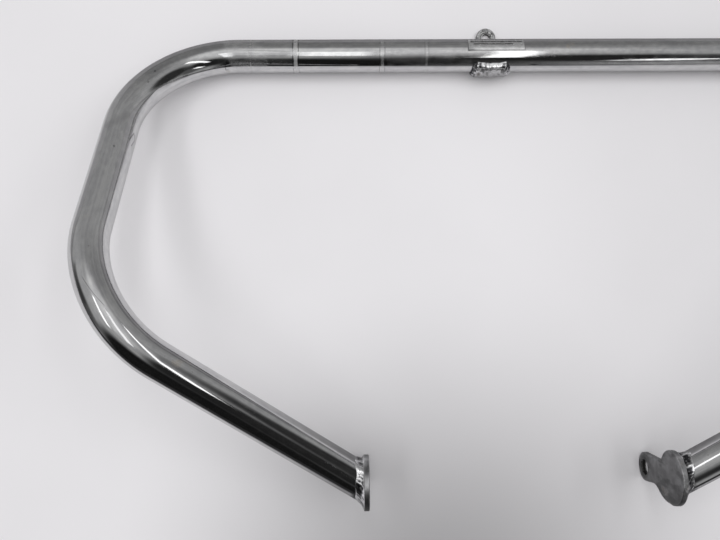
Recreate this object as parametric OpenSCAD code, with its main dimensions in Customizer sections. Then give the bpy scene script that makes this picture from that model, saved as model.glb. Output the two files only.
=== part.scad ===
// Motorcycle crash bar: one bent tube with welded end plates and a centre bracket.
// It lies on its back: +Z is up from the table, +X runs along the top tube
// and +Y points from the end plates to the top tube.

/* [Tube] */
// Outer diameter of the tube
tube_d = 31.75; // [25:0.05:38]
// Wall thickness of the tube
tube_wall = 2.4; // [1.6:0.1:4]
// Length of the straight top run
top_run = 508; // [440:1:600]
// Radius of both bends, measured to the tube's centre line
bend_r = 101.6; // [80:0.1:125]

/* [Side legs] */
// Angle at which a side leg rises from the table
side_rise = 31; // [24:0.5:37]
// Angle at which a side leg leans outwards
side_splay = 2; // [0:0.5:8]
// Straight length of a side leg between its two bends
side_run = 117; // [100:1:150]

/* [Lower legs] */
// Angle of a lower leg to the top tube, seen from above
lower_slope = 34.5; // [30:0.5:39]
// Angle at which a lower leg comes back down to the table
lower_fall = 20.5; // [17:0.5:24]

/* [End plates] */
// Distance between the inner faces of the two end plates
plate_gap = 268; // [220:1:320]
// Thickness of an end plate
plate_t = 4.8; // [3:0.1:8]
// Width by which the disc that caps the tube stands out round it
disc_rim = 8.1; // [7:0.1:12]
// Width of the ear that reaches down to the table
ear_w = 27; // [22:0.5:32]
// Distance that the ear sits lower than the disc, seen from above
ear_drop = 1.5; // [0:0.5:4]
// Distance from the ear's centre to where its lower edge flares out
flare_start = 18; // [14:0.5:24]
// Diameter of the bolt hole in the ear
ear_hole_d = 14.3; // [9:0.1:16]

/* [Centre bracket] */
// Thickness of the bracket's plate
bracket_t = 4.8; // [3:0.1:7]
// Width of the saddle under the tube
saddle_w = 31; // [24:0.5:46]
// Angle above the tube's front at which the saddle ends
saddle_wrap = 32; // [15:1:45]
// Place of the bracket's middle, left or right of the guard's middle
bracket_x = -7.5; // [-40:0.5:40]
// Diameter of the bracket's round lug
lug_d = 19.6; // [17:0.2:24]
// Distance from the back of the tube to the lug's centre
lug_reach = 9.1; // [8.6:0.1:18]
// Diameter of the bolt hole in the lug
lug_hole_d = 8.4; // [6:0.1:10]
// Diameter of the spot face round the lug's hole
spot_d = 12.6; // [11:0.2:16]
// Depth of the spot face
spot_depth = 0.6; // [0.2:0.1:1.2]

/* [Welds] */
// Length of a plate weld's leg along the tube
weld_up = 5.5; // [3:0.1:8]
// Length of a plate weld's leg across the plate
weld_out = 4.2; // [2.5:0.1:6]
// Radius of the beads round the bracket
bead_r = 4; // [2.5:0.1:4.6]
// Angle that each side bead runs back under the tube
bead_back = 50; // [20:1:70]

/* [Foil decal] */
// Width of the blank foil decal
decal_w = 56; // [30:1:80]
// Place of the decal's middle along the top tube
decal_x = -3.5; // [-60:0.5:60]
// Angle that the decal covers round the tube
decal_wrap = 56; // [20:1:80]
// Angle of the decal's lower edge, from the tube's crown
decal_from = -3; // [-20:1:10]
// Thickness of the foil
decal_t = 0.2; // [0.1:0.05:0.4]

/* [Hidden] */
$fn = 96;

// Small clearance between the tube and what is wrapped round it
seat_gap = 0.1;
// Hair's breadth by which a bend is thinner than a straight run, and a neck than its arcs
hair = 0.01;
// Length by which a straight run laps into the bend at each of its ends
lap = 1;
// Length that a cut runs past the face it opens
past = 1;
// Number of sections in a plate weld and points across its crown
weld_sections = 48;
crown_points = 4;
// Height of a plate weld's crown over the straight line between its legs
crown = 0.9;
// Margin that a plate weld keeps from the edge of the disc
weld_margin = 0.6;

tube_r = tube_d / 2;
bore_r = tube_r - tube_wall;
disc_r = tube_r + disc_rim;
ear_r = ear_w / 2;
lug_r = lug_d / 2;
lug_rise = tube_r + lug_reach;
plate_inner = plate_gap / 2;
plate_outer = plate_inner + plate_t;
saddle_r = tube_r + seat_gap;
strap_edge = 180 - saddle_wrap;

function unit(v) = v / norm(v);

// Directions of the three runs of the right half, from the middle outwards
top_dir = [1, 0, 0];
side_dir = [
    sin(side_splay) * cos(side_rise),
    -cos(side_splay) * cos(side_rise),
    sin(side_rise)];
lower_dir = [
    -cos(lower_slope) * cos(lower_fall),
    -sin(lower_slope) * cos(lower_fall),
    -sin(lower_fall)];

// A bend turns from one direction to the next about a centre to its inside
function inside(from, to) = unit(to - (to * from) * from);
function turn(from, to) = acos(to * from);
function bend_end(p, from, to) =
    p + bend_r * (sin(turn(from, to)) * from + (1 - cos(turn(from, to))) * inside(from, to));

// Direction across a lower leg, in the plane of its bend
lower_side = inside(lower_dir, side_dir);

// Points of the centre line, first with the top tube at Y = 0
top_z = bracket_t + saddle_r;
rough_corner = [top_run / 2, 0, top_z];
rough_side = bend_end(rough_corner, top_dir, side_dir);
rough_knee = rough_side + side_run * side_dir;
rough_lower = bend_end(rough_knee, side_dir, lower_dir);
lower_run = (plate_outer - rough_lower.x) / lower_dir.x;
rough_end = rough_lower + lower_run * lower_dir;

// The guard's box in Y is centred on the origin
y_high = max(lug_rise + lug_r, tube_r);
y_low = rough_end.y - disc_r;
centring = [0, -(y_high + y_low) / 2, 0];
corner_p = rough_corner + centring;
side_p = rough_side + centring;
knee_p = rough_knee + centring;
lower_p = rough_lower + centring;
end_p = rough_end + centring;
top_y = corner_p.y;
ear_p = [end_p.y - ear_drop, ear_r];
disc_p = [end_p.y, end_p.z];

// Moves a shape to origin o, with its x and y along the given directions
module place(o, x, y) {
    z = cross(x, y);
    multmatrix([
        [x.x, y.x, z.x, o.x],
        [x.y, y.y, z.y, o.y],
        [x.z, y.z, z.z, o.z],
        [0, 0, 0, 1]])
        children();
}

// Straight rod along dir, with side across it, that laps past both ends
module rod(p, dir, side, length, r) {
    place(p - lap * dir, side, cross(dir, side))
        cylinder(h = length + 2 * lap, r = r);
}

// Bend of a rod from one direction to the next, a hair thinner than the rod
module rod_bend(p, from, to, r) {
    n = inside(from, to);
    place(p + bend_r * n, -n, from)
        rotate_extrude(angle = turn(from, to))
            translate([bend_r, 0])
                circle(r - hair);
}

// Right half of the bent path, run on past the end plate
module half_path(r) {
    rod_bend(corner_p, top_dir, side_dir, r);
    rod(side_p, side_dir, inside(side_dir, lower_dir), side_run, r);
    rod_bend(knee_p, side_dir, lower_dir, r);
    rod(lower_p, lower_dir, lower_side, lower_run + tube_d, r);
}

// Whole bent path from one lower leg to the other
module path(r) {
    rod([-top_run / 2, top_y, top_z], top_dir, [0, 0, 1], top_run, r);
    half_path(r);
    mirror([1, 0, 0])
        half_path(r);
}

module guard_tube() {
    trim_h = 4 * tube_d;
    color("silver")
        difference() {
            path(tube_r);
            path(bore_r);
            translate([-plate_outer, end_p.y - trim_h / 2, end_p.z - trim_h / 2])
                cube([2 * plate_outer, trim_h, trim_h]);
        }
}

// Point where the edge from a point meets the disc, on its lower side
function touch(p, c, r) =
    let (d = norm(p - c), a = atan2(p.y - c.y, p.x - c.x), b = acos(r / d))
    c + r * [cos(a - b), sin(a - b)];

// Outline of an end plate: disc, ear and the neck with one flared edge
module plate_outline() {
    neck = ear_r - hair;
    flare_p = [ear_p.x - neck, ear_p.y + flare_start];
    translate(disc_p)
        circle(disc_r);
    translate(ear_p)
        circle(ear_r);
    polygon([
        [ear_p.x + neck, ear_p.y],
        [ear_p.x + neck, disc_p.y],
        disc_p,
        touch(flare_p, disc_p, disc_r - hair),
        flare_p,
        [ear_p.x - neck, ear_p.y]]);
}

module right_plate() {
    place([plate_inner, 0, 0], [0, 1, 0], [0, 0, 1])
        difference() {
            linear_extrude(plate_t)
                plate_outline();
            translate([ear_p.x, ear_p.y, -past])
                cylinder(h = plate_t + 2 * past, d = ear_hole_d);
        }
}

module right_end_plate() {
    color("gray")
        right_plate();
}

module left_end_plate() {
    color("gray")
        mirror([1, 0, 0])
            right_plate();
}

// Section of a plate weld at angle a round the lower leg: foot, toe, crown and top
function weld_ray(a) =
    cos(a) * lower_side + sin(a) * cross(lower_dir, lower_side);
function weld_foot(ray) = end_p + saddle_r * (ray - ray.x / lower_dir.x * lower_dir);
function weld_toe(foot) =
    let (reach = norm(foot - end_p))
    end_p + min(reach + weld_out, disc_r - weld_margin) * (foot - end_p) / reach;
function weld_section(a) =
    let (
        foot = weld_foot(weld_ray(a)),
        toe = weld_toe(foot),
        top = foot - weld_up * lower_dir,
        bulge = unit(unit(toe - foot) + unit(top - foot)))
    concat(
        [foot, toe],
        [for (i = [1 : crown_points])
            let (s = i / (crown_points + 1))
            toe + s * (top - toe) + 4 * s * (1 - s) * crown * bulge],
        [top]);

module right_weld() {
    sections = [for (i = [0 : weld_sections - 1]) weld_section(360 * i / weld_sections)];
    m = len(sections[0]);
    points = [for (s = sections) for (p = s) p];
    faces = [
        for (i = [0 : weld_sections - 1])
            for (j = [0 : m - 1])
                let (i2 = (i + 1) % weld_sections, j2 = (j + 1) % m)
                for (f = [[i * m + j, i2 * m + j, i2 * m + j2], [i * m + j, i2 * m + j2, i * m + j2]]) f];
    polyhedron(points, faces);
}

module right_plate_weld() {
    color("dimgray")
        right_weld();
}

module left_plate_weld() {
    color("dimgray")
        mirror([1, 0, 0])
            right_weld();
}

// Turns a profile of radius and width round the top tube, at the bracket.
// Angles count upwards from the tube's front, so its underside is at -90.
module round_tube(from, to) {
    place([bracket_x, top_y, top_z], [0, 1, 0], [0, 0, 1])
        rotate([0, 0, 180 - to])
            rotate_extrude(angle = to - from)
                children();
}

// Runs a profile, drawn round the top tube's centre, across the bracket's middle
module across_bracket(width) {
    place([bracket_x - width / 2, top_y, top_z], [0, 1, 0], [0, 0, 1])
        linear_extrude(width)
            children();
}

// Side profile: strap round the tube's front and underside, then flat to the back
module strap_profile() {
    difference() {
        circle(top_z);
        circle(saddle_r);
        translate([0, -2 * top_z])
            square(4 * top_z);
        rotate(strap_edge)
            translate([0, -2 * top_z])
                square(2 * top_z);
    }
    translate([0, -top_z])
        square([lug_rise + lug_r + past, bracket_t]);
}

// Plan outline: full width under the tube, narrowing behind it to the round lug
module bracket_outline() {
    neck = lug_r - hair;
    translate([0, lug_rise])
        circle(lug_r);
    polygon([
        [-saddle_w / 2, -2 * top_z],
        [saddle_w / 2, -2 * top_z],
        [saddle_w / 2, 0],
        [neck, lug_rise - lug_r],
        [neck, lug_rise],
        [-neck, lug_rise],
        [-neck, lug_rise - lug_r],
        [-saddle_w / 2, 0]]);
}

module centre_bracket() {
    color("gray")
        difference() {
            intersection() {
                across_bracket(saddle_w + 2 * past)
                    strap_profile();
                translate([bracket_x, top_y, -past])
                    linear_extrude(2 * top_z + past)
                        bracket_outline();
            }
            translate([bracket_x, top_y + lug_rise, -past])
                cylinder(h = bracket_t + 2 * past, d = lug_hole_d);
            translate([bracket_x, top_y + lug_rise, bracket_t - spot_depth])
                cylinder(h = spot_depth + past, d = spot_d);
        }
}

// Bead along the saddle's front edge, which also closes the ends of the side beads
module bracket_front_weld() {
    color("dimgray")
        across_bracket(saddle_w + 2 * bead_r)
            difference() {
                translate(saddle_r * [cos(strap_edge), sin(strap_edge)])
                    circle(bead_r);
                circle(saddle_r);
                rotate(strap_edge)
                    square(2 * saddle_r);
            }
}

module side_bead() {
    round_tube(-bead_back, saddle_wrap)
        translate([saddle_r, saddle_w / 2])
            intersection() {
                circle(bead_r);
                square(bead_r);
            }
}

module bracket_right_weld() {
    color("dimgray")
        side_bead();
}

module bracket_left_weld() {
    color("dimgray")
        translate([2 * bracket_x, 0, 0])
            mirror([1, 0, 0])
                side_bead();
}

module blank_decal() {
    color("lightgray")
        translate([decal_x - bracket_x, 0, 0])
            round_tube(90 + decal_from, 90 + decal_from + decal_wrap)
                translate([saddle_r, -decal_w / 2])
                    square([decal_t, decal_w]);
}

guard_tube();
left_end_plate();
right_end_plate();
left_plate_weld();
right_plate_weld();
centre_bracket();
bracket_front_weld();
bracket_left_weld();
bracket_right_weld();
blank_decal();
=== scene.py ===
import math

import bmesh
import bpy
import numpy as np
from mathutils import Matrix, Vector


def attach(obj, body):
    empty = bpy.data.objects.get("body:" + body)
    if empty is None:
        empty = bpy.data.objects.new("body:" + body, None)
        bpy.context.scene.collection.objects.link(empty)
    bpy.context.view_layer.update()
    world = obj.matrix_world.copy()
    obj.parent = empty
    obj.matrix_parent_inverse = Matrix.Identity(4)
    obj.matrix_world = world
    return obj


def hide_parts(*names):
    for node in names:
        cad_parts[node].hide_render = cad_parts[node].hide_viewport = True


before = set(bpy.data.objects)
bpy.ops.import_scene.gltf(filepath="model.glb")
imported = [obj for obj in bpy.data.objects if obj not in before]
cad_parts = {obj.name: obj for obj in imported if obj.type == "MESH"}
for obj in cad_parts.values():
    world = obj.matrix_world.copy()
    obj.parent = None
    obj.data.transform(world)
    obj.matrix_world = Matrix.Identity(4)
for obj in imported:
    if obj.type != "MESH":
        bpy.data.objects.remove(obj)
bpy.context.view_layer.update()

# -------- sizes, in metres, as in part.scad
TUBE_R = 0.015875
TOP_RUN = 0.508
BEND_R = 0.1016
SIDE_RISE, SIDE_SPLAY, SIDE_RUN = math.radians(31), math.radians(2), 0.117
LOWER_SLOPE, LOWER_FALL = math.radians(34.5), math.radians(20.5)
PLATE_GAP, PLATE_T = 0.268, 0.0048
DISC_R, EAR_R, EAR_DROP, EAR_HOLE_R = 0.023975, 0.0135, 0.0015, 0.00715
BRACKET_T, SADDLE_W, SADDLE_WRAP, BRACKET_X = 0.0048, 0.031, math.radians(32), -0.0075
LUG_R, LUG_RISE, LUG_HOLE_R, SPOT_R, SPOT_DEPTH = 0.0098, 0.024975, 0.0042, 0.0063, 0.0006
SADDLE_R = TUBE_R + 0.0001
TOP_Y, TOP_Z = 0.1971168, SADDLE_R + BRACKET_T
DECAL_W, DECAL_X, DECAL_FROM, DECAL_WRAP = 0.056, -0.0035, math.radians(-3), math.radians(56)

# -------- sizes that only this scene has
PLATE_EDGE, BRACKET_EDGE, STRAP_CORNER = 0.0007, 0.0006, 0.004
EAR_SET_BACK, DISC_BACK = 0.0007, 0.0114
TUBE_SIDES, NEAR_END = 96, 1e-5
# Plate welds: height up the tube, reach on the plate, gap to the disc's rim, and depth inside the metal
FILLET_UP, FILLET_OUT, FILLET_RIM, FILLET_SINK = 0.0092, 0.0071, 0.0009, 0.0012
FILLET_STEPS, OVAL_R, OVAL_STEPS = 14, 0.0205, 168
# Weld along the saddle's upper edge: its toe in degrees up the tube, how much more at its ends, how far
# its ends stay back, its bulge and rim, and the two points inside the strap
SADDLE_TOE, SADDLE_TOE_ENDS, SADDLE_BACK, SADDLE_STEPS = 43, 5.5, 0.0015, 70
SADDLE_BULGE, SADDLE_RIM = Vector((0, -0.0050, 0.0002)), 0.0031
SADDLE_ROOTS = [(0.0029, 0.09), (-0.0008, 0.07)]
# Welds up the saddle's sides: radius, lowest angle, corner, and how far their line lies off the tube
BEAD_R, BEAD_FOOT, BEAD_CORNER = 0.0034, math.radians(-50), 0.003
BEAD_LIFT, BEAD_CORNER_LIFT, BEAD_END_LIFT = 0.0004, 0.0006, 0.0002
BEAD_STEP, BEAD_SIDES = 0.0005, 28
FOIL_T, FOIL_LIFT, FOIL_COLUMNS, FOIL_ROWS = 0.00012, 0.0012, 112, 40
STRAP_CUTS, SPOT_SIDES, CUTTER_HEIGHT = 40, 64, 0.004
SAME_POINT, FLAT_CUT = 2e-6, 1e-7
FLOOR_REACH, LAMP_HEIGHT = 6, 2.0


# -------- tools for node trees
def spaced(values):
    """The same values under their labels, where a name had _ for each space."""
    return {name.replace("_", " "): value for name, value in values.items()}


class Kit:
    """One node tree, with a short name for each kind of node that comes up often.
    Every value is a number, a row of numbers or another node's socket."""

    def __init__(self, tree):
        self.tree = tree

    def fill(self, node, inputs):
        """Gives each named input of a node a value or a link."""
        for socket, value in inputs.items():
            if isinstance(value, bpy.types.NodeSocket):
                self.tree.links.new(value, node.inputs[socket])
            else:
                node.inputs[socket].default_value = value

    def put(self, kind, inputs=None, **settings):
        """Adds a node with its settings and its inputs."""
        node = self.tree.nodes.new(kind)
        for name, value in settings.items():
            setattr(node, name, value)
        self.fill(node, inputs or {})
        return node

    def maths(self, operation, a, b=0.5, c=0.5):
        return self.put("ShaderNodeMath", {0: a, 1: b, 2: c}, operation=operation).outputs[0]

    def chain(self, operation, first, *values):
        for value in values:
            first = self.maths(operation, first, value)
        return first

    def add(self, *values):
        return self.chain("ADD", *values)

    def less(self, a, b):
        return self.maths("SUBTRACT", a, b)

    def times(self, *values):
        return self.chain("MULTIPLY", *values)

    def over(self, a, b):
        return self.maths("DIVIDE", a, b)

    def line(self, value, slope, start):
        """A straight line: the value times the slope, plus the start."""
        return self.maths("MULTIPLY_ADD", value, slope, start)

    def most(self, *values):
        return self.chain("MAXIMUM", *values)

    def size(self, value):
        return self.maths("ABSOLUTE", value)

    def sum_of(self, first, *parts):
        """The first value and a share of each other one, which are given as (value, share)."""
        return self.add(first, *[self.times(value, share) for value, share in parts])

    def vector(self, operation, a, b=(0, 0, 0)):
        """Vector maths. SCALE takes its factor as b. A length, distance or dot product is a number."""
        second = "Scale" if operation == "SCALE" else 1
        node = self.put("ShaderNodeVectorMath", {0: a, second: b}, operation=operation)
        return node.outputs["Value" if operation in ("LENGTH", "DISTANCE", "DOT_PRODUCT") else "Vector"]

    def stretched(self, vector, *factors):
        return self.vector("MULTIPLY", vector, factors)

    def split(self, vector):
        return self.put("ShaderNodeSeparateXYZ", {0: vector}).outputs

    def fade(self, value, low, high, start=0.0, stop=1.0):
        """Goes smoothly from start to stop while the value goes from low to high."""
        ends = {"From Min": low, "From Max": high, "To Min": start, "To Max": stop}
        return self.put("ShaderNodeMapRange", {"Value": value, **ends},
                        interpolation_type="SMOOTHSTEP").outputs[0]

    def between(self, value, low, high, soft):
        """1 from low to high, with soft edges, and 0 outside."""
        return self.times(self.fade(value, low - soft, low + soft),
                          self.fade(value, high + soft, high - soft))

    def mixed(self, share, under, over):
        return self.put("ShaderNodeMix", {0: share, 2: under, 3: over}).outputs[0]

    def layers(self, colour, *coats):
        """A colour with others laid over it, each given as (share, colour). One number stands for a grey."""
        def whole(c):
            c = (c, c, c) if isinstance(c, float) else c
            return (*c, 1) if isinstance(c, tuple) else c
        for share, over in coats:
            colour = self.put("ShaderNodeMix", {0: share, 6: whole(colour), 7: whole(over)},
                              data_type="RGBA").outputs[2]
        return colour

    def noise(self, vector, scale, detail=2.0, seed=0.0):
        return self.put("ShaderNodeTexNoise", {"Vector": vector, "Scale": scale, "Detail": detail, "W": seed},
                        noise_dimensions="4D").outputs[0]

    def grain(self, vector, factors, detail, seed=0.0):
        """Noise that is stretched by its own factor along each direction."""
        return self.noise(self.stretched(vector, *factors), 1.0, detail, seed)

    def mask(self, group, **values):
        """Places an effect; its inputs are given by name, with _ for a space."""
        return self.put("ShaderNodeGroup", spaced(values), node_tree=group).outputs["Mask"]

    def own_place(self):
        return self.put("ShaderNodeTexCoord").outputs["Object"]

    def bump(self, height):
        return self.put("ShaderNodeBump", {"Strength": 1.0, "Distance": 1.0, "Height": height}).outputs[0]


def new_tree(name, kind, inputs, result):
    """A Kit on a new tree, and the values that the tree is given.
    Each input has its default number, or the name of its kind of socket."""
    tree = bpy.data.node_groups.new(name, kind)
    for label, default in inputs.items():
        sort = {float: "Float", int: "Int"}.get(type(default), default)
        socket = tree.interface.new_socket(label, in_out="INPUT", socket_type="NodeSocket" + sort)
        if sort != default:
            socket.default_value = default
    sort = "Geometry" if result == "Geometry" else "Float"
    tree.interface.new_socket(result, in_out="OUTPUT", socket_type="NodeSocket" + sort)
    return Kit(tree), tree.nodes.new("NodeGroupInput").outputs


def mesh_tree(name, **inputs):
    """A Geometry Nodes tree whose inputs are given by name, with _ for a space."""
    inputs = {"Geometry": "Geometry", **spaced(inputs), "Material": "Material"}
    return new_tree(name, "GeometryNodeTree", inputs, "Geometry")


def close_tree(kit, geometry, given):
    """Ends a tree in Realize Instances and Set Material."""
    whole = kit.put("GeometryNodeRealizeInstances", {"Geometry": geometry})
    coated = kit.put("GeometryNodeSetMaterial", {"Geometry": whole.outputs[0], "Material": given["Material"]})
    kit.put("NodeGroupOutput", {0: coated.outputs[0]})
    return kit.tree


def caught(kit, geometry, label, kind, value):
    """Keeps a value on each point of a curve, so that the mesh that is made from it still has it."""
    node = kit.put("GeometryNodeCaptureAttribute", {"Geometry": geometry})
    node.capture_items.new(kind, label)
    kit.fill(node, {label: value})
    return node.outputs[0], node.outputs[label]


def swept(kit, curve, sides, radius):
    """A round bar along a curve, and the vector from its middle line to each point."""
    length = kit.put("GeometryNodeSplineParameter").outputs["Length"]
    path, along = caught(kit, curve, "Along", "FLOAT", length)
    circle = kit.put("GeometryNodeCurvePrimitiveCircle", {"Resolution": sides, "Radius": radius}).outputs[0]
    ring, around = caught(kit, circle, "Around", "VECTOR", kit.put("GeometryNodeInputPosition").outputs[0])
    bar = kit.put("GeometryNodeCurveToMesh", {"Curve": path, "Profile Curve": ring, "Fill Caps": True})
    return bar.outputs[0], along, around


def stored(kit, geometry, name, value, kind="FLOAT"):
    return kit.put("GeometryNodeStoreNamedAttribute", {"Geometry": geometry, "Name": name, "Value": value},
                   data_type=kind).outputs[0]


# -------- tools for meshes
def placed(name, mesh):
    """An object at the origin that shows the mesh."""
    piece = bpy.data.objects.new(name, mesh)
    bpy.context.scene.collection.objects.link(piece)
    return piece


def result_of(piece):
    """The mesh that an object's curve or modifiers give. The object goes."""
    bpy.context.view_layer.update()
    mesh = bpy.data.meshes.new_from_object(piece.evaluated_get(bpy.context.evaluated_depsgraph_get()))
    bpy.data.objects.remove(piece)
    return mesh


def grown(name, base, tree, values):
    """Runs a tree on the base object and returns its result as a plain mesh."""
    modifier = base.modifiers.new(tree.name, "NODES")
    modifier.node_group = tree
    sockets = {s.name: s.identifier for s in tree.interface.items_tree if s.in_out == "INPUT"}
    for label, value in values.items():
        modifier[sockets[label]] = value
    mesh = result_of(base)
    mesh.name = name
    return mesh


def wire(name, lines, closed=False):
    """A curve object that runs straight from point to point of each line."""
    curve = bpy.data.curves.new(name, "CURVE")
    curve.dimensions = "3D"
    for points in lines:
        spline = curve.splines.new("POLY")
        spline.points.add(len(points) - 1)
        for target, point in zip(spline.points, points):
            target.co = (*point, 0, 1) if len(point) == 2 else (*point, 1)
        spline.use_cyclic_u = closed
    return placed(name, curve)


def arc(centre, radius, start, stop, step=4):
    """Points on a circle from the start angle to the stop angle, in degrees."""
    count = max(2, round(abs(stop - start) / step) + 1)
    return [(centre[0] + radius * math.cos(a), centre[1] + radius * math.sin(a))
            for a in np.radians(np.linspace(start, stop, count))]


def sheet_metal(name, outlines, thickness, edge):
    """A flat plate in X and Y from closed outlines, from z = 0 up, with its edges rounded over."""
    form = wire(name, outlines, True)
    curve = form.data
    curve.dimensions = "2D"
    curve.fill_mode = "BOTH"
    curve.extrude = thickness / 2 - edge
    curve.bevel_depth = edge
    curve.bevel_resolution = 3
    curve.offset = -edge
    mesh = result_of(form)
    mesh.transform(Matrix.Translation((0, 0, thickness / 2)))
    return mesh


def dressed(mesh, material, angle=40):
    """Merges a mesh's doubles, turns its faces outwards, smooths them up to an angle and coats them."""
    form = bmesh.new()
    form.from_mesh(mesh)
    bmesh.ops.remove_doubles(form, verts=form.verts, dist=SAME_POINT)
    bmesh.ops.dissolve_degenerate(form, dist=FLAT_CUT, edges=form.edges)
    bmesh.ops.recalc_face_normals(form, faces=form.faces)
    for face in form.faces:
        face.smooth = True
    for rim in form.edges:
        rim.smooth = rim.calc_face_angle(0) < math.radians(angle)
    form.to_mesh(mesh)
    form.free()
    mesh.materials.clear()
    mesh.materials.append(material)
    return mesh


def mesh_from(name, verts, faces):
    mesh = bpy.data.meshes.new(name)
    mesh.from_pydata(verts, [], faces)
    return mesh


# -------- the tube
# The way that each run of the right half takes, from the tube's middle to its end
TOP_DIR = Vector((1, 0, 0))
SIDE_DIR = Vector((math.sin(SIDE_SPLAY) * math.cos(SIDE_RISE), -math.cos(SIDE_SPLAY) * math.cos(SIDE_RISE),
                   math.sin(SIDE_RISE)))
LOWER_DIR = Vector((-math.cos(LOWER_SLOPE) * math.cos(LOWER_FALL),
                    -math.sin(LOWER_SLOPE) * math.cos(LOWER_FALL), -math.sin(LOWER_FALL)))
END_X = PLATE_GAP / 2 + PLATE_T
LAST_STEP = 0.02


def straight_points(start, heading, length, step=0.01):
    count = math.ceil(length / step)
    return [start + heading * (length * i / count) for i in range(1, count + 1)]


def bend_points(start, before, after, step=1.5):
    inwards = (after - (after @ before) * before).normalized()
    turn = math.degrees(before.angle(after))
    centre = start + BEND_R * inwards
    return [centre - BEND_R * math.cos(a) * inwards + BEND_R * math.sin(a) * before
            for a in np.radians(np.linspace(0, turn, math.ceil(turn / step) + 1)[1:])]


def half_line():
    """The right half of the centre line, from the tube's middle to the outer face of its end plate."""
    line = [Vector((0, TOP_Y, TOP_Z))]
    line += straight_points(line[-1], TOP_DIR, TOP_RUN / 2)
    line += bend_points(line[-1], TOP_DIR, SIDE_DIR)
    line += straight_points(line[-1], SIDE_DIR, SIDE_RUN)
    line += bend_points(line[-1], SIDE_DIR, LOWER_DIR)
    left = (END_X - line[-1].x) / LOWER_DIR.x
    line += straight_points(line[-1], LOWER_DIR, left - LAST_STEP)
    return line + [line[-1] + LAST_STEP * LOWER_DIR]


def mirrored(points):
    return [Vector((-p.x, p.y, p.z)) for p in points]


HALF_LINE = half_line()
TUBE_END = HALF_LINE[-1]
HALF_LENGTH = sum((b - a).length for a, b in zip(HALF_LINE, HALF_LINE[1:]))


def guard_tube(material):
    """The bent tube. Its attribute `straight` says where a point was on the tube before it was bent:
    X along the tube from its middle, Y out from the guard, Z up."""
    kit, given = mesh_tree("bent tube", Tube_radius=TUBE_R, Sides=TUBE_SIDES, Half_length=HALF_LENGTH)
    upright = kit.put("GeometryNodeSetCurveNormal", {"Curve": given["Geometry"]}, mode="Z_UP").outputs[0]
    tube, along, around = swept(kit, upright, given["Sides"], given["Tube radius"])
    out, up, _ = kit.split(kit.vector("SCALE", around, -1.0))
    from_middle = kit.less(along, given["Half length"])
    unbent = kit.put("ShaderNodeCombineXYZ", {0: from_middle, 1: out, 2: up}).outputs[0]
    tree = close_tree(kit, stored(kit, tube, "straight", unbent, "FLOAT_VECTOR"), given)
    line = mirrored(HALF_LINE[:0:-1]) + HALF_LINE
    mesh = grown("bent_tube", wire("tube line", [line]), tree,
                 {"Tube radius": TUBE_R, "Sides": TUBE_SIDES, "Half length": HALF_LENGTH,
                  "Material": material})
    for v in mesh.vertices:
        side = math.copysign(1, v.co.x)
        lower = Vector((side * LOWER_DIR.x, LOWER_DIR.y, LOWER_DIR.z))
        end = Vector((side * TUBE_END.x, TUBE_END.y, TUBE_END.z))
        if abs((v.co - end) @ lower) < NEAR_END:
            v.co += lower * ((end.x - v.co.x) / lower.x)
    return placed("bent_tube", dressed(mesh, material, 50))


# -------- end plates
# The front edge from the disc down to the ear: Y from the disc's middle, and Z
FLARE = [(-0.02388, 0.0692), (-0.0232, 0.0597), (-0.0214, 0.0526), (-0.0190, 0.0474), (-0.0160, 0.0428),
         (-0.0139, 0.0390), (-0.0129, 0.0345), (-0.0130, 0.0290), (-0.0138, 0.0215), (-0.0142, 0.0135)]


def flowing(points, steps=6):
    """Points on a smooth curve through the given points, without the first one."""
    whole = [np.array(point) for point in points]
    whole = [2 * whole[0] - whole[1], *whole, 2 * whole[-1] - whole[-2]]
    run = []
    for a, b, c, d in zip(whole, whole[1:], whole[2:], whole[3:]):
        for t in np.linspace(0, 1, steps + 1)[1:]:
            run.append(tuple(0.5 * (2 * b + (c - a) * t + (2 * a - 5 * b + 4 * c - d) * t * t
                                    + (3 * b - a - 3 * c + d) * t ** 3)))
    return run


def round_hole(centre, radius):
    return arc(centre, radius, 0, 354, 6)


def plate_outlines():
    """The plate: the round ear, a nearly straight back, the disc and a flare at the front, and its hole."""
    ear, disc = (TUBE_END.y - EAR_SET_BACK, EAR_R), (TUBE_END.y, TUBE_END.z)
    front = [(disc[0] + y, z) for y, z in FLARE]
    back = -math.degrees(math.acos(DISC_BACK / DISC_R))
    start = math.degrees(math.atan2(front[0][1] - disc[1], front[0][0] - disc[0])) % 360
    rim = [*arc(ear, EAR_R, -180, 0)[1:], *arc(disc, DISC_R, back, start), *flowing(front)]
    return rim, round_hole((TUBE_END.y - EAR_DROP, EAR_R), EAR_HOLE_R)


def end_plate(name, side, material):
    mesh = sheet_metal(name, plate_outlines(), PLATE_T, PLATE_EDGE)
    mesh.transform(Matrix(((0, 0, side, side * PLATE_GAP / 2), (1, 0, 0, 0), (0, 1, 0, 0), (0, 0, 0, 1))))
    return placed(name, dressed(mesh, material))


# -------- welds
# Painted brightness shifts the painted light and shade on a weld's colour
WELD_INPUTS = {"Ripple_length": 0.0024, "Ripple_height": 0.0002, "Lump_size": 0.004, "Lump_height": 0.0006,
               "Painted brightness": 0.0, "Seed": 1.0}
WELD_ANGLE = 80


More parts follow.
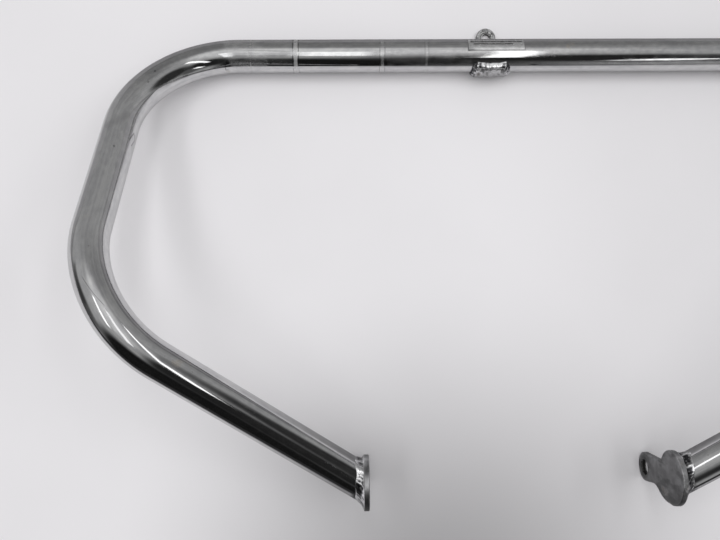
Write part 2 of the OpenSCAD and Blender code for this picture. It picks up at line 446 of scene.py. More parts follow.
def rippled(kit, geometry, run, share, given):
    """Raises a weld's skin by the ripples of its puddle and by lumps; run is the way along the weld.
    The attribute that it stores says how high a point stands, and so how bright its colour is painted: painted
    highlights on crests and smooth parts, painted shade in hollows."""
    place = kit.put("GeometryNodeInputPosition").outputs[0]

    def bumps(size, seed, detail=2.0):
        return kit.noise(place, kit.over(1.0, size), detail, kit.add(given["Seed"], seed))

    lumps, grit = bumps(given["Lump size"], 0.0), bumps(0.0016, 5.0, 1.0)
    drift = kit.line(lumps, 0.009, run)
    beat = kit.maths("SINE", kit.times(kit.over(drift, given["Ripple length"]), math.tau))
    beat = kit.times(beat, kit.times(bumps(0.009, 2.0), 2.0))
    height = kit.add(kit.times(beat, given["Ripple height"]),
                     kit.add(kit.times(kit.less(lumps, 0.5), kit.times(given["Lump height"], 2.0)),
                             kit.times(kit.less(grit, 0.5), given["Ripple height"])))
    # Painted light: crests and smooth parts are painted brighter, hollows darker, shifted by the weld's painted
    # brightness
    painted_weld_light = kit.add(kit.line(beat, 0.08, lumps), kit.line(kit.less(1.0, share), 0.45, given["Painted brightness"]))
    push = kit.vector("SCALE", kit.put("GeometryNodeInputNormal").outputs[0], kit.times(height, share))
    marked = stored(kit, geometry, "painted_weld_light", painted_weld_light)
    rough = kit.put("GeometryNodeSetPosition", {"Geometry": marked, "Offset": push}).outputs[0]
    return close_tree(kit, rough, given)


def bead_tree():
    """A weld bead along a line, rippled and lumpy."""
    kit, given = mesh_tree("weld bead", Bead_radius=0.004, **WELD_INPUTS)
    dense = kit.put("GeometryNodeResampleCurve", {"Curve": given["Geometry"], "Length": BEAD_STEP},
                    mode="LENGTH")
    bead, along, _ = swept(kit, dense.outputs[0], BEAD_SIDES, given["Bead radius"])
    return rippled(kit, bead, along, 1.0, given)


def fillet_tree():
    """Gives a smooth fillet its ripples; the fillet's own attributes say how far round and how free it is."""
    kit, given = mesh_tree("weld fillet", **WELD_INPUTS)
    run, free = [kit.put("GeometryNodeInputNamedAttribute", {"Name": name}, data_type="FLOAT").outputs[0]
                 for name in ("run", "free")]
    return rippled(kit, given["Geometry"], run, free, given)


def fillet(name, sections, run, freedom, closed, tree, values):
    """A smooth weld from its cross-sections, each a toe, a bulge, a rim and the points inside the metal."""
    verts, free = [], []
    for toe, bulge, rim, *inside in sections:
        for t in np.linspace(0, 1, FILLET_STEPS):
            verts.append((1 - t) ** 2 * toe + 2 * t * (1 - t) * bulge + t * t * rim)
            free.append(freedom * min(1.0, 5 * t, 5 * (1 - t)))
        verts += inside
        free += [0.0] * len(inside)
    ring, count = len(verts) // len(sections), len(sections)
    faces = []
    for i in range(count if closed else count - 1):
        here, there = i * ring, (i + 1) % count * ring
        faces += [(here + j, here + (j + 1) % ring, there + (j + 1) % ring, there + j) for j in range(ring)]
    if not closed:
        faces += [tuple(range(ring)), tuple(range((count - 1) * ring, count * ring))]
    mesh = mesh_from(name, verts, faces)
    for label, numbers in (("run", [r for r in run for _ in range(ring)]), ("free", free)):
        mesh.attributes.new(label, "FLOAT", "POINT").data.foreach_set("value", numbers)
    mesh = grown(name, placed(name, dressed(mesh, values["Material"], WELD_ANGLE)), tree, values)
    return placed(name, dressed(mesh, values["Material"], WELD_ANGLE))


def plate_weld(name, side, tree, material):
    """The bell-shaped fillet that runs from the tube down to the face of its end plate."""
    across = LOWER_DIR.cross(TOP_DIR).normalized()
    upward = across.cross(LOWER_DIR)
    under = Vector((FILLET_SINK, 0, 0))
    sections, turns = [], [math.tau * i / OVAL_STEPS for i in range(OVAL_STEPS)]
    for a in turns:
        ray = math.cos(a) * across + math.sin(a) * upward
        out = TUBE_R * (ray - ray.x / LOWER_DIR.x * LOWER_DIR)
        wave = 0.0007 * math.sin(3 * a + 1.0) + 0.0005 * math.sin(7 * a + 2.0 * side)
        foot, toe = TUBE_END + out, TUBE_END + out - (FILLET_UP + wave) * LOWER_DIR
        reach = min(out.length + FILLET_OUT, DISC_R - FILLET_RIM - 0.3 * abs(wave))
        rim = TUBE_END + reach * out.normalized()
        bulge = foot + 0.22 * (toe - foot) + 0.30 * (rim - foot)
        section = [toe, bulge, rim, rim - under, foot - 0.0016 * ray - under, toe - 0.0014 * ray]
        sections.append(section if side > 0 else mirrored(section))
    # Painted shade: the right weld's colour is painted darker than the left's
    return fillet(name, sections, [a * OVAL_R for a in turns], 1.0, True, tree,
                  {"Ripple length": 0.0037, "Ripple height": 0.00009, "Lump size": 0.0055,
                   "Lump height": 0.0012, "Painted brightness": -0.07 - 0.07 * side, "Seed": 3.0 + side,
                   "Material": material})


def round_tube(radius, angle, x):
    """A point round the top run. The angle is 0 at the tube's front and -90 degrees at its underside."""
    return Vector((x, TOP_Y - radius * math.cos(angle), TOP_Z + radius * math.sin(angle)))


def saddle_fillet(name, tree, material):
    """The smooth fillet along the saddle's upper edge, where it ends on the tube's front."""
    reach = SADDLE_W / 2 - SADDLE_BACK
    sections, run = [], [float(x) for x in np.linspace(-reach, reach, SADDLE_STEPS)]
    for x in run:
        at = BRACKET_X + x
        rise = math.radians(SADDLE_TOE + SADDLE_TOE_ENDS * (x / reach) ** 2
                            + 0.7 * math.sin(x * 620) + 0.3 * math.sin(x * 1450))
        toe = round_tube(TUBE_R, rise, at)
        roots = [round_tube(SADDLE_R + out, SADDLE_WRAP - back, at) for out, back in SADDLE_ROOTS]
        sections.append([toe, toe + SADDLE_BULGE, round_tube(SADDLE_R + SADDLE_RIM, SADDLE_WRAP, at), *roots,
                         round_tube(TUBE_R - FILLET_SINK, rise - 0.02, at)])
    # Painted highlight: a raised painted brightness, and a low freedom that leaves most of its skin smooth and
    # so painted bright
    return fillet(name, sections, run, 0.3, False, tree,
                  {"Ripple length": 0.0042, "Ripple height": 0.00002, "Lump size": 0.007,
                   "Lump height": 0.0007, "Painted brightness": 0.22, "Seed": 6.0, "Material": material})


def side_bead(name, side, tree, material):
    """The lumpy bead that runs up one side of the saddle and round its upper corner."""
    edge = SADDLE_W / 2
    line = [round_tube(SADDLE_R + BEAD_LIFT, a, BRACKET_X + side * edge)
            for a in np.linspace(BEAD_FOOT, SADDLE_WRAP, 20)[:-2]]
    for a in map(math.radians, range(0, 91, 15)):
        turn = SADDLE_WRAP - BEAD_CORNER / SADDLE_R * (1 - math.sin(a))
        line.append(round_tube(SADDLE_R + BEAD_CORNER_LIFT, turn,
                               BRACKET_X + side * (edge - BEAD_CORNER * (1 - math.cos(a)))))
    line.append(round_tube(SADDLE_R + BEAD_END_LIFT, SADDLE_WRAP,
                           BRACKET_X + side * (edge - 1.5 * BEAD_CORNER)))
    # Painted shade: these beads' colour is painted darker, the right one a little less
    mesh = grown(name, wire("saddle line", [line]), tree,
                 {"Bead radius": BEAD_R, "Ripple length": 0.0027, "Ripple height": 0.0002,
                  "Lump size": 0.0042, "Lump height": 0.0014, "Painted brightness": -0.11 + 0.02 * side,
                  "Seed": 9.0 + side, "Material": material})
    return placed(name, dressed(mesh, material, WELD_ANGLE))


# -------- centre bracket
STRAP_R = SADDLE_R + BRACKET_T / 2
STRAP_FOOT = -(math.pi / 2 + SADDLE_WRAP) * STRAP_R


def bracket_outlines():
    """The bracket laid flat: the round lug, the shoulders and the strap that is bent round the tube."""
    half, lug = SADDLE_W / 2, (0.0, LUG_RISE)
    corner = (half - STRAP_CORNER, STRAP_FOOT + STRAP_CORNER)
    rim = [(corner[0], STRAP_FOOT), *arc(corner, STRAP_CORNER, -90, 0, 15)[1:], (half, 0.0),
           (LUG_R, LUG_RISE - LUG_R)]
    return [*rim, *arc(lug, LUG_R, 0, 180), *[(-x, y) for x, y in rim[::-1]]], round_hole(lug, LUG_HOLE_R)


def spot_faced(mesh, material):
    """Cuts the shallow round seat for a bolt's head into the lug."""
    middle = (0, LUG_RISE, BRACKET_T - SPOT_DEPTH + CUTTER_HEIGHT / 2)
    cut = bmesh.new()
    bmesh.ops.create_cone(cut, cap_ends=True, segments=SPOT_SIDES, radius1=SPOT_R, radius2=SPOT_R,
                          depth=CUTTER_HEIGHT, matrix=Matrix.Translation(middle))
    cutter = bpy.data.meshes.new("spot cutter")
    cut.to_mesh(cutter)
    cut.free()
    lug, tool = placed("lug", dressed(mesh, material)), placed("spot cutter", cutter)
    step = lug.modifiers.new("spot face", "BOOLEAN")
    step.object, step.operation, step.solver = tool, "DIFFERENCE", "EXACT"
    result = result_of(lug)
    bpy.data.objects.remove(tool)
    return result


def centre_bracket(name, material):
    mesh = sheet_metal(name, bracket_outlines(), BRACKET_T, BRACKET_EDGE)
    form = bmesh.new()
    form.from_mesh(spot_faced(mesh, material))
    bmesh.ops.remove_doubles(form, verts=form.verts, dist=SAME_POINT)
    for y in np.linspace(0, STRAP_FOOT, STRAP_CUTS)[:-1]:
        bmesh.ops.bisect_plane(form, geom=form.verts[:] + form.edges[:] + form.faces[:], dist=FLAT_CUT,
                               plane_co=(0, y, 0), plane_no=(0, 1, 0))
    for v in form.verts:
        angle = -math.pi / 2 - min(v.co.y, 0) / STRAP_R
        flat = max(v.co.y, 0)
        v.co = round_tube(TOP_Z - v.co.z, angle, BRACKET_X + v.co.x) + Vector((0, flat, 0))
    form.to_mesh(mesh)
    form.free()
    return placed(name, dressed(mesh, material))


# -------- label
def foil_decal(name, material):
    """A blank foil label that lies on the tube, with its lower left corner lifted a little."""
    tall = FOIL_ROWS + 1
    grid = [(i / FOIL_COLUMNS, j / FOIL_ROWS) for i in range(FOIL_COLUMNS + 1) for j in range(tall)]
    verts = []
    for across, up in grid:
        curl = max(0, 1 - across * 5 - up * 2.2)
        turn = math.pi / 2 + DECAL_FROM + DECAL_WRAP * up
        verts.append(round_tube(SADDLE_R + FOIL_T + FOIL_LIFT * curl ** 2, turn,
                                DECAL_X + DECAL_W * (across - 0.5)))
    faces = [(a, a + 1, a + tall + 1, a + tall)
             for i in range(FOIL_COLUMNS) for a in range(i * tall, i * tall + FOIL_ROWS)]
    mesh = mesh_from(name, verts, faces)
    label = mesh.uv_layers.new(name="label")
    for corner in mesh.loops:
        label.data[corner.index].uv = grid[corner.vertex_index]
    piece = placed(name, dressed(mesh, material))
    wall = piece.modifiers.new("foil", "SOLIDIFY")
    wall.thickness = FOIL_T
    wall.offset = 0
    return piece


# -------- effects that the finishes share
def effect(name, build, **inputs):
    """A shader node group with named inputs, with _ for a space, which puts out the mask that build makes."""
    kit, given = new_tree(name, "ShaderNodeTree", spaced(inputs), "Mask")
    kit.put("NodeGroupOutput", {0: build(kit, given)})
    return kit.tree


def speck_mask(kit, given):
    cells = kit.put("ShaderNodeTexVoronoi", {"Vector": given["Vector"],
                                             "Scale": kit.over(1.0, given["Spacing"])}).outputs
    away = kit.times(cells["Distance"], given["Spacing"])
    dot = kit.fade(away, given["Size"], kit.times(given["Size"], 0.4))
    chance = kit.put("ShaderNodeSeparateColor", {0: cells["Color"]}).outputs[0]
    return kit.times(dot, kit.maths("LESS_THAN", chance, given["Share"]))


def stain_mask(kit, given):
    patch = kit.noise(given["Vector"], kit.over(1.0, given["Spacing"]), 5.0, given["Seed"])
    return kit.fade(patch, given["From"], given["To"])


def hairline_mask(kit, given):
    scale = kit.over(1.0, given["Spacing"])
    level = kit.size(kit.less(kit.noise(given["Vector"], scale, 1.0, given["Seed"]), 0.5))
    line = kit.fade(level, given["Width"], kit.times(given["Width"], 0.3))
    broken = kit.noise(given["Vector"], kit.times(scale, 1.7), 2.0, kit.add(given["Seed"], 7.3))
    return kit.times(line, kit.fade(broken, 0.5, 0.62))


def ring_mask(kit, given):
    half = kit.times(given["Width"], 0.5)
    return kit.fade(kit.size(kit.less(given["Along"], given["Place"])), half, kit.times(half, 0.45))


# Rubbed edges, whose bright colour is partly a painted highlight along them
def edge_mask(kit, given):
    rounded = kit.put("ShaderNodeBevel", {"Radius": given["Radius"]}, samples=8).outputs[0]
    flat = kit.put("ShaderNodeNewGeometry").outputs["True Normal"]
    rubbed = kit.noise(given["Vector"], 420.0, 4.0)
    return kit.times(kit.fade(kit.vector("DOT_PRODUCT", rounded, flat), 0.985, 0.90),
                     kit.fade(rubbed, 0.36, 0.56))


def scuff_mask(kit, given):
    along = kit.less(given["Along"], given["Place along"])
    turned = kit.less(given["Round"], given["Place round"])
    lean, sink = kit.maths("COSINE", given["Slant"]), kit.maths("SINE", given["Slant"])
    length = kit.add(kit.times(along, lean), kit.times(turned, sink))
    width = kit.less(kit.times(turned, lean), kit.times(along, sink))
    ends = kit.fade(kit.size(length), kit.times(given["Length"], 0.5), kit.times(given["Length"], 0.35))
    sides = kit.fade(kit.size(width), kit.times(given["Width"], 0.6), kit.times(given["Width"], 0.15))
    return kit.times(ends, sides)


specks = effect("specks", speck_mask, Vector="Vector", Spacing=0.01, Size=0.0005, Share=0.5)
stains = effect("stains", stain_mask, Vector="Vector", Spacing=0.02, From=0.5, To=0.6, Seed=0.0)
hairlines = effect("hairlines", hairline_mask, Vector="Vector", Spacing=0.02, Width=0.004, Seed=0.0)
ring_mark = effect("ring_mark", ring_mask, Along=0.0, Place=0.0, Width=0.002)
scuff = effect("scuff", scuff_mask, Along=0.0, Round=0.0, Place_along=0.0, Place_round=0.0, Length=0.01,
               Width=0.001, Slant=0.0)
rubbed_edge_highlight = effect("rubbed_edge_highlight", edge_mask, Vector="Vector", Radius=0.0008)


# -------- finishes
def finish(name):
    """A new material, a Kit on its tree and its shader."""
    material = bpy.data.materials.new(name)
    material.use_nodes = True
    return material, Kit(material.node_tree), material.node_tree.nodes["Principled BSDF"]


def coat(kit, shader, colour, roughness, metallic, height):
    """Feeds a shader its colour, roughness, metallic share and bump height in metres."""
    kit.fill(shader, {"Base Color": colour, "Roughness": roughness, "Metallic": metallic,
                      "Normal": kit.bump(height)})


# Marks that old clamps and tape left round the tube: place along it and width, in metres, and strength
CLAMP_RINGS = [(-0.1997, 0.0046, 1.0), (-0.1151, 0.0040, 0.6), (-0.0717, 0.0030, 0.35),
               (-0.2437, 0.0014, 0.3), (0.4120, 0.0036, 0.5), (0.6980, 0.0024, 0.4)]
# Patches of old tape film: from, to, and strength
TAPE_FILM = [(-0.2680, -0.2292, 1.0), (-0.2292, -0.2010, 0.35), (-0.1130, -0.0300, 0.45),
             (0.1500, 0.2200, 0.6), (0.5150, 0.5600, 0.5)]
# Single scuffs on the left half: place along, place round, length, width, slant in degrees, and strength
SCUFFS = [(-0.2695, -0.0114, 0.0080, 0.0011, 60, 0.9), (-0.2712, -0.0168, 0.0062, 0.0011, 90, 0.9),
          (-0.2699, -0.0194, 0.0040, 0.0010, 0, 0.9), (-0.4297, -0.0183, 0.0140, 0.0011, -15, 0.85),
          (-0.4259, -0.0221, 0.0075, 0.0011, 44, 0.85), (-0.4337, -0.0225, 0.0130, 0.0011, -18, 0.85),
          (-0.4224, 0.0023, 0.0170, 0.0110, -56, 0.17), (-0.4129, -0.0065, 0.0180, 0.0090, -32, 0.14),
          (-0.5910, -0.0012, 0.0300, 0.0008, 15, 0.45), (-0.5810, 0.0073, 0.0360, 0.0034, -3, 0.55),
          (-0.3449, 0.0018, 0.0022, 0.0018, 0, 0.9), (-0.4502, -0.0055, 0.0022, 0.0018, 40, 0.8),
          (-0.3595, -0.0034, 0.0030, 0.0022, 20, 0.4), (-0.2434, 0.0002, 0.0900, 0.0009, -2, 0.25)]


def tube_finish():
    """Old chrome: bright, with polishing streaks, tape film, rings, hairlines, pits and dull weld ends."""
    material, kit, shader = finish("tube_chrome")
    straight = kit.put("ShaderNodeAttribute", attribute_name="straight").outputs["Vector"]
    along, out, up = kit.split(straight)
    turned = kit.times(kit.maths("ARCTAN2", out, up), TUBE_R)
    reach = kit.size(along)

    streak = kit.grain(straight, (7.0, 620.0, 620.0), 3.0)
    cloud = kit.grain(straight, (45.0, 130.0, 130.0), 4.0, 2.0)
    mottle = kit.grain(straight, (150.0, 260.0, 260.0), 3.0, 6.0)
    sway = kit.grain(straight, (26.0, 95.0, 95.0), 2.0, 1.0)
    broken = kit.fade(kit.grain(straight, (30.0, 190.0, 190.0), 3.0, 5.0), 0.36, 0.6)

    slant = kit.line(turned, 0.22, along)
    film = kit.add(*[kit.times(kit.between(slant, start, stop, 0.0015), strength)
                     for start, stop, strength in TAPE_FILM])
    film = kit.times(film, kit.fade(cloud, 0.3, 0.62))

    def ring(place, width):
        return kit.mask(ring_mark, Along=along, Place=place, Width=width)

    # Each ring is a hazy band with a dark line along both its edges
    haze = kit.add(*[kit.times(ring(place, width), strength) for place, width, strength in CLAMP_RINGS])
    haze = kit.times(haze, kit.line(broken, 0.6, 0.4))
    groove = kit.add(*[
        kit.times(kit.add(*[ring(place + side * width * 0.62, 0.0013) for side in (-1, 1)]), strength)
        for place, width, strength in CLAMP_RINGS])
    groove = kit.times(groove, broken)
    scuffed = kit.most(*[
        kit.times(kit.mask(scuff, Along=along, Round=turned, Place_along=place, Place_round=turn,
                           Length=length, Width=width, Slant=math.radians(lean)), strength)
        for place, turn, length, width, lean, strength in SCUFFS])
    dull = kit.between(kit.line(cloud, 0.03, reach), 0.385, 0.575, 0.03)

    pits = kit.mask(specks, Vector=straight, Spacing=0.016, Size=0.00055, Share=0.55)
    dust = kit.mask(specks, Vector=straight, Spacing=0.0045, Size=0.00028, Share=0.35)
    lines = kit.mask(hairlines, Vector=kit.stretched(straight, 0.30, 1.0, 1.0), Spacing=0.012,
                     Width=0.0035, Seed=4.0)
    cross = kit.mask(hairlines, Vector=kit.stretched(straight, 1.0, 0.35, 0.7), Spacing=0.016,
                     Width=0.0028, Seed=11.0)
    scratch = kit.most(lines, cross)
    water = kit.mask(stains, Vector=straight, Spacing=0.035, From=0.60, To=0.68, Seed=3.0)
    brown = kit.mask(stains, Vector=straight, Spacing=0.02, From=0.66, To=0.74, Seed=8.0)
    soot = kit.fade(kit.line(mottle, 0.008, reach), HALF_LENGTH - 0.0085, HALF_LENGTH - 0.0045)

    roughness = kit.sum_of(kit.line(streak, 0.06, 0.02), (mottle, 0.05), (film, 0.16), (haze, 0.28),
                           (scratch, 0.11), (water, 0.08), (soot, 0.30), (pits, 0.3))
    metallic = kit.less(1.0, kit.sum_of(kit.times(haze, 0.28), (dull, 0.20), (film, 0.07), (pits, 0.5),
                                        (brown, 0.12)))
    colour = kit.layers((0.52, 0.52, 0.53), (kit.fade(kit.add(mottle, cloud, streak), 1.15, 1.85), 0.66),
                        (kit.times(groove, 0.75), 0.10),
                        (kit.times(scuffed, kit.fade(mottle, 0.2, 0.5, 0.6, 1.0)), 0.07),
                        (kit.times(brown, 0.35), (0.42, 0.35, 0.26)),
                        (kit.most(pits, kit.times(dust, 0.5)), (0.07, 0.06, 0.05)),
                        (kit.times(soot, 0.7), (0.035, 0.035, 0.04)))
    bent = kit.add(kit.between(reach, 0.262, 0.40, 0.012), kit.between(reach, 0.535, 0.655, 0.012))
    height = kit.sum_of(kit.times(streak, 5e-6), (mottle, 9e-6), (sway, kit.line(bent, 6.5e-5, 1.0e-5)),
                        (scratch, -3e-6), (groove, -8e-6), (scuffed, -6e-6), (film, 3e-6), (pits, -2e-5))
    coat(kit, shader, colour, roughness, metallic, height)
    kit.fill(shader, {"Specular Tint": (0.85, 0.85, 0.85, 1)})
    return material


def plate_finish(name, shade, hole, dirt, gloss, lumps, grain, blotch, painted_light_ramp, rim):
    """Dull plated steel: clouded, stained, dark round its hole and rubbed bright along its edges, a brightness
    that is partly a painted highlight.
    Its painted light goes from one share of the shade to another along a direction, and rim is the share of
    that painted light that a plate's narrow edge keeps."""
    material, kit, shader = finish(name)
    place = kit.own_place()
    cloud, fine = kit.noise(place, 75.0, 5.0), kit.noise(place, 900.0, 3.0, 2.0)
    knobs = kit.noise(place, 340.0, 2.0, 5.0)
    smear = kit.mask(stains, Vector=kit.stretched(place, 1.0, 1.0, 0.45), Spacing=grain, From=0.46,
                     To=0.62, Seed=6.0)
    rust = kit.mask(stains, Vector=place, Spacing=0.012, From=0.60, To=0.70, Seed=12.0)
    lines = kit.mask(hairlines, Vector=kit.stretched(place, 1.0, 1.0, 0.4), Spacing=0.007,
                     Width=0.006, Seed=2.0)
    edge = kit.mask(rubbed_edge_highlight, Vector=place, Radius=0.0017)

    # Darker round its hole and down inside it
    centre, across, radius = hole
    gap = kit.vector("MULTIPLY", kit.vector("SUBTRACT", place, centre), across)
    away = kit.line(cloud, -0.0016, kit.vector("LENGTH", gap))
    hole_darkening = kit.add(kit.fade(away, radius + 0.0040, radius + 0.0008, 0.0, 0.60),
                    kit.fade(away, radius + 0.0002, radius - 0.0004, 0.0, 0.40))
    # Painted light and shade: the colour grows lighter or darker along a direction, and a plate's narrow edge
    # keeps only the rim share of it
    way, *levels = painted_light_ramp
    level = kit.fade(kit.vector("DOT_PRODUCT", place, way), *levels)
    flat = kit.size(kit.split(kit.put("ShaderNodeNewGeometry").outputs["True Normal"])[0])
    painted_light_factor = kit.times(level, kit.fade(flat, 0.3, 0.9, rim, 1.0))

    def darker(share):
        return tuple(share * s for s in shade)

    colour = kit.layers(darker(0.62), (kit.fade(cloud, 0.32, 0.68), shade),
                        (kit.times(smear, kit.times(level, blotch)), darker(0.18)))
    # The rubbed edges' bright colour is partly a painted highlight
    colour = kit.layers(kit.vector("SCALE", colour, painted_light_factor),
                        (kit.times(rust, 0.55 * dirt), (0.085, 0.055, 0.035)), (kit.times(lines, 0.4), 0.62),
                        (hole_darkening, (0.014, 0.013, 0.012)), (kit.times(edge, 0.9), 0.95))
    roughness = kit.sum_of(kit.line(cloud, 0.20, gloss), (smear, 0.12), (edge, -0.16), (fine, 0.06))
    metallic = kit.less(1.0, kit.sum_of(kit.times(rust, 0.5 * dirt), (hole_darkening, 0.4)))
    height = kit.sum_of(kit.times(cloud, 1.1e-4), (knobs, kit.times(painted_light_factor, lumps)), (fine, 6e-6),
                        (lines, -8e-6))
    coat(kit, shader, colour, roughness, metallic, height)
    return material


def weld_finish():
    """Plated weld: painted highlights on its lumps, painted shade in its ripples, and black pores."""
    material, kit, shader = finish("weld_steel")
    place = kit.own_place()
    painted_weld_light = kit.put("ShaderNodeAttribute", attribute_name="painted_weld_light").outputs["Fac"]
    patch = kit.noise(place, 330.0, 3.0, 4.0)
    pores = kit.mask(specks, Vector=place, Spacing=0.0022, Size=0.0005, Share=0.4)
    # Painted highlights where the stored painted light is high, painted shade in the hollows
    high = kit.fade(kit.line(patch, 0.6, painted_weld_light), 0.60, 0.94)
    steady = kit.fade(painted_weld_light, 0.70, 0.84, 1.0, 0.2)
    colour = kit.layers((0.05, 0.05, 0.055), (high, (0.82, 0.82, 0.83)), (kit.times(pores, 0.85), 0.012))
    height = kit.times(kit.sum_of(kit.times(patch, 1.2e-4), (pores, -1.2e-4)), steady)
    coat(kit, shader, colour, kit.line(high, -0.20, 0.32), 1.0, height)
    return material


# The label's plain bars: from and to up the label, and from and to across it
BARS = [(0.81, 0.94, 0.05, 0.97), (0.59, 0.72, 0.05, 0.97), (0.405, 0.49, 0.09, 0.80)]


def foil_finish():
    """Blank foil: a thin scuffed label with three plain bars where its print was."""
    material, kit, shader = finish("decal_foil")
    place = kit.put("ShaderNodeUVMap", uv_map="label").outputs[0]
    across, upward, _ = kit.split(place)
    cloud = kit.grain(place, (9.0, 3.0, 1.0), 4.0)
    worn = kit.grain(place, (46.0, 9.0, 1.0), 3.0, 5.0)
    bars = kit.add(*[kit.times(kit.between(upward, low, high, 0.02), kit.between(across, left, right, 0.006))
                     for low, high, left, right in BARS])
    bars = kit.times(bars, kit.fade(worn, 0.34, 0.56))
    lines = kit.mask(hairlines, Vector=kit.stretched(place, 0.5, 1.0, 1.0), Spacing=0.14, Width=0.008,
                     Seed=1.0)
    rim = kit.less(1.0, kit.times(kit.between(across, 0.012, 0.99, 0.006),
                                  kit.between(upward, 0.05, 0.98, 0.03)))
    colour = kit.layers(0.76, (kit.fade(cloud, 0.3, 0.7), (0.95, 0.95, 0.96)), (bars, 0.02),
                        (kit.times(rim, 0.6), 0.16))
    roughness = kit.sum_of(kit.line(cloud, 0.16, 0.13), (lines, 0.2))
    height = kit.sum_of(kit.times(cloud, 2.0e-5), (lines, -6e-6))
    coat(kit, shader, colour, roughness, 0.95, height)
    return material


# -------- the part
tube_chrome, weld_steel, decal_foil = tube_finish(), weld_finish(), foil_finish()
ear_hole = ((0.0, TUBE_END.y - EAR_DROP, EAR_R), (0.0, 1.0, 1.0), EAR_HOLE_R)
lug_hole = ((BRACKET_X, TOP_Y + LUG_RISE, 0.0), (1.0, 1.0, 0.0), LUG_HOLE_R)
# The plates' painted light grows lighter along +Y; the bracket's painted shade darkens its strap low at the
# front, towards the floor
plate_steel = plate_finish(
    "plate_steel", (0.56, 0.56, 0.57), ear_hole, dirt=1.0, gloss=0.20, lumps=3e-5, grain=0.009, blotch=0.40,
    painted_light_ramp=((0.0, 1.0, 0.0), TUBE_END.y - 0.018, TUBE_END.y + 0.016, 1.0, 1.55), rim=0.66)
bracket_steel = plate_finish(
    "bracket_steel", (0.80, 0.80, 0.81), lug_hole, dirt=0.7, gloss=0.06, lumps=6e-4, grain=0.0034, blotch=1.0,
    painted_light_ramp=((0.0, 1.0, 1.0), 0.192, 0.211, 0.38, 1.0), rim=1.0)
beads, fillets = bead_tree(), fillet_tree()
pieces = [
    (guard_tube(tube_chrome), "tube_chrome", ["guard_tube"]),
    (end_plate("left_plate", -1, plate_steel), "plate_steel", ["left_end_plate"]),
    (end_plate("right_plate", 1, plate_steel), "plate_steel", ["right_end_plate"]),
    (plate_weld("left_bead", -1, fillets, weld_steel), "weld_steel", ["left_plate_weld"]),
    (plate_weld("right_bead", 1, fillets, weld_steel), "weld_steel", ["right_plate_weld"]),
    (centre_bracket("saddle_bracket", bracket_steel), "bracket_steel", ["centre_bracket"]),
    (saddle_fillet("saddle_fillet", fillets, weld_steel), "weld_steel", ["bracket_front_weld"]),
    (side_bead("saddle_left_bead", -1, beads, weld_steel), "weld_steel", ["bracket_left_weld"]),
    (side_bead("saddle_right_bead", 1, beads, weld_steel), "weld_steel", ["bracket_right_weld"]),
    (foil_decal("foil_label", decal_foil), "decal_foil", ["blank_decal"]),
]
for piece, slot, solids in pieces:
    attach(piece, "root")
    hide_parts(*solids)


# -------- floor, light and camera
def flat_panel(name, x, y, height, width, length, order, material):
    """A flat rectangle on the stage; its corners run in the given order, which turns its face up or down."""
    corners = [(x + i * width / 2, y + j * length / 2, height) for i, j in order]
    mesh = mesh_from(name, corners, [(0, 1, 2, 3)])
    mesh.materials.append(material)
    return placed(name, mesh)


FACE_UP = ((-1, -1), (1, -1), (1, 1), (-1, 1))
FACE_DOWN = ((-1, -1), (-1, 1), (1, 1), (1, -1))
PAPER = (0.842, 0.829, 0.850)
# The middle of the floor's painted shadow, and of the painted shade in what metal shows of the floor
PAINTED_SHADOW_MIDDLE, REFLECTED_SHADE_MIDDLE = (-0.06, -0.345, 0.0), (0.05, -0.20, 0.0)


def floor():
    """Pale paper with a painted shadow that falls off softly towards the camera's side, and painted shade in
    what metal shows of it.
    """
    material, kit, shader = finish("floor_paper")
    place = kit.own_place()
    x, y, _ = kit.split(place)
    # Painted shadow round one spot and a little painted shade to the right; the paper is also faintly uneven
    shade = kit.times(kit.fade(kit.vector("DISTANCE", place, PAINTED_SHADOW_MIDDLE), 0.0, 0.34, 0.42, 1.0),
                      kit.fade(x, -0.02, 0.16, 1.0, 0.935),
                      kit.fade(kit.noise(place, 5.0, 3.0), 0.3, 0.7, 0.985, 1.01))
    # Painted shade in what metal shows of it: darker from under the top run onwards, far to the front, and
    # round a second spot
    painted_shade_in_reflections = kit.times(kit.fade(y, 0.155, 0.19, 0.97, 0.74), kit.fade(y, 0.20, 0.225, 1.0, 0.55),
                         kit.fade(y, -0.52, -0.30, 0.06, 1.0),
                         kit.fade(kit.vector("DISTANCE", place, REFLECTED_SHADE_MIDDLE), 0.12, 0.36, 0.35, 1.0))
    glossy = kit.put("ShaderNodeLightPath").outputs["Is Glossy Ray"]
    shade = kit.times(shade, kit.mixed(glossy, 1.0, painted_shade_in_reflections))
    kit.fill(shader, {"Base Color": kit.vector("SCALE", PAPER, shade), "Roughness": 0.9,
                      "Specular IOR Level": 0.0})
    flat_panel("floor", 0, 0, 0, 2 * FLOOR_REACH, 2 * FLOOR_REACH, FACE_UP, material)


def ceiling_lamp(name, x, y, width, length, radiance):
    """A lamp over the part that lights it and the floor; metal shows the softer panels instead."""
    lamp = bpy.data.lights.new(name, "AREA")
    lamp.shape = "RECTANGLE"
    lamp.size, lamp.size_y = width, length
    lamp.energy = radiance * math.pi * width * length
    holder = placed(name, lamp)
    holder.location = (x, y, LAMP_HEIGHT)
    holder.visible_camera = holder.visible_glossy = False


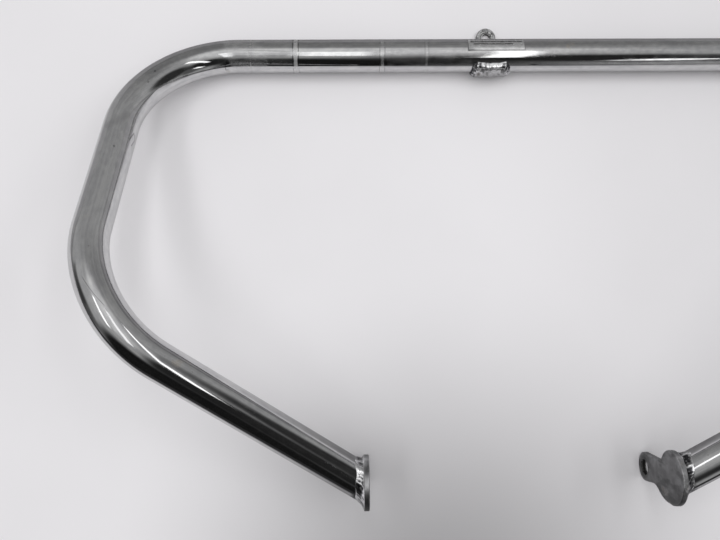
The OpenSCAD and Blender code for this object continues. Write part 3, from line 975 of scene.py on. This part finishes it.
def ceiling_panel(name, x, y, height, width, length, level):
    """The soft-edged bright panel that metal shows for a lamp."""
    material, kit, shader = finish(name)
    kit.tree.nodes.remove(shader)
    i, j, _ = kit.split(kit.vector("SUBTRACT", kit.own_place(), (x, y, height)))
    share = kit.times(kit.between(i, -width / 2 + 0.02, width / 2 - 0.02, 0.02),
                      kit.between(j, -length / 2 + 0.05, length / 2 - 0.05, 0.05))
    glow = kit.put("ShaderNodeEmission", {"Strength": kit.times(share, level)}).outputs[0]
    clear = kit.put("ShaderNodeBsdfTransparent").outputs[0]
    blend = kit.put("ShaderNodeMixShader", {0: share, 1: clear, 2: glow}).outputs[0]
    kit.fill(kit.tree.nodes["Material Output"], {"Surface": blend})
    panel = flat_panel(name, x, y, height, width, length, FACE_DOWN, material)
    for kind in ("camera", "diffuse", "transmission", "volume_scatter", "shadow"):
        setattr(panel, "visible_" + kind, False)


# Soft cards round the part that only its metal shows: degrees from straight up, degrees from +X towards +Y,
# the width at full strength, the width at which it has faded, and its level
CARDS = [(14, 105, 13, 32, 0.78), (85, 90, 25, 58, 0.22), (50, 180, 14, 34, 0.50), (82, -172, 10, 26, 0.10),
         (70, -112, 28, 46, 0.010), (62, -5, 15, 30, 0.035), (46, -55, 14, 30, 0.02), (68, -40, 6, 16, 0.12)]
# Lamps: place, width, length and radiance. Panels: place, height, width, length and level
LAMPS = {"lamp_left": (-1.05, -0.02, 0.38, 1.40, 4.6), "lamp_middle": (-0.185, 0.25, 0.31, 1.50, 5.2),
         "lamp_right": (0.695, 0.14, 0.27, 1.44, 4.6), "lamp_far_right": (1.5, 0.14, 0.30, 1.40, 4.6)}
PANELS = {"panel_left": (-1.10, 0.0, 2.0, 0.28, 1.04, 2.0),
          "panel_middle": (-0.19, 0.03, 2.0, 0.31, 1.12, 1.5),
          "panel_right": (0.265, -0.055, 1.1, 0.16, 1.08, 2.0),
          "panel_window": (0.86, -1.10, 1.0, 0.28, 0.70, 2.0)}
ROOM_LIGHT, BACKDROP = 0.5, 0.8


def studio():
    """Even light for dull surfaces, and a room of soft cards for metal to show."""
    world = bpy.data.worlds.new("studio")
    bpy.context.scene.world = world
    world.use_nodes = True
    kit = Kit(world.node_tree)
    look = kit.vector("NORMALIZE", kit.put("ShaderNodeTexCoord").outputs["Generated"])
    upward = kit.split(look)[2]
    level = kit.times(kit.fade(upward, 0.05, 0.75, 0.36, 0.40), kit.fade(upward, 0.01, 0.06, 0.5, 1.0))
    for tilt, heading, full, faded, card in CARDS:
        t, h = math.radians(tilt), math.radians(heading)
        axis = (math.sin(t) * math.cos(h), math.sin(t) * math.sin(h), math.cos(t))
        share = kit.fade(kit.vector("DOT_PRODUCT", look, axis), math.cos(math.radians(faded)),
                         math.cos(math.radians(full)))
        level = kit.mixed(share, level, card)
    path = kit.put("ShaderNodeLightPath").outputs
    seen = kit.mixed(path["Is Glossy Ray"], ROOM_LIGHT, level)
    kit.fill(kit.tree.nodes["Background"], {"Color": kit.mixed(path["Is Camera Ray"], seen, BACKDROP)})
    for name, lamp in LAMPS.items():
        ceiling_lamp(name, *lamp)
    for name, panel in PANELS.items():
        ceiling_panel(name, *panel)


# The camera as it was solved from the photograph: where it stands, and its turns about Z, Y and X
CAMERA_PLACE, CAMERA_TURNS, LENS = (-0.152186, -0.071769, 0.717483), (0.00943583, 0.01884264, -0.07953932), 36


def photo_view():
    camera = bpy.data.cameras.new("camera")
    camera.sensor_width = camera.lens = LENS
    view = placed("camera", camera)
    about_z, about_y, about_x = [Matrix.Rotation(angle, 3, axis) for angle, axis in zip(CAMERA_TURNS, "ZYX")]
    turn = (about_z @ about_y @ about_x).transposed()
    view.matrix_world = Matrix.Translation(CAMERA_PLACE) @ turn.to_4x4()
    bpy.context.scene.camera = view
    bpy.context.scene.view_settings.view_transform = "Standard"


floor()
studio()
photo_view()
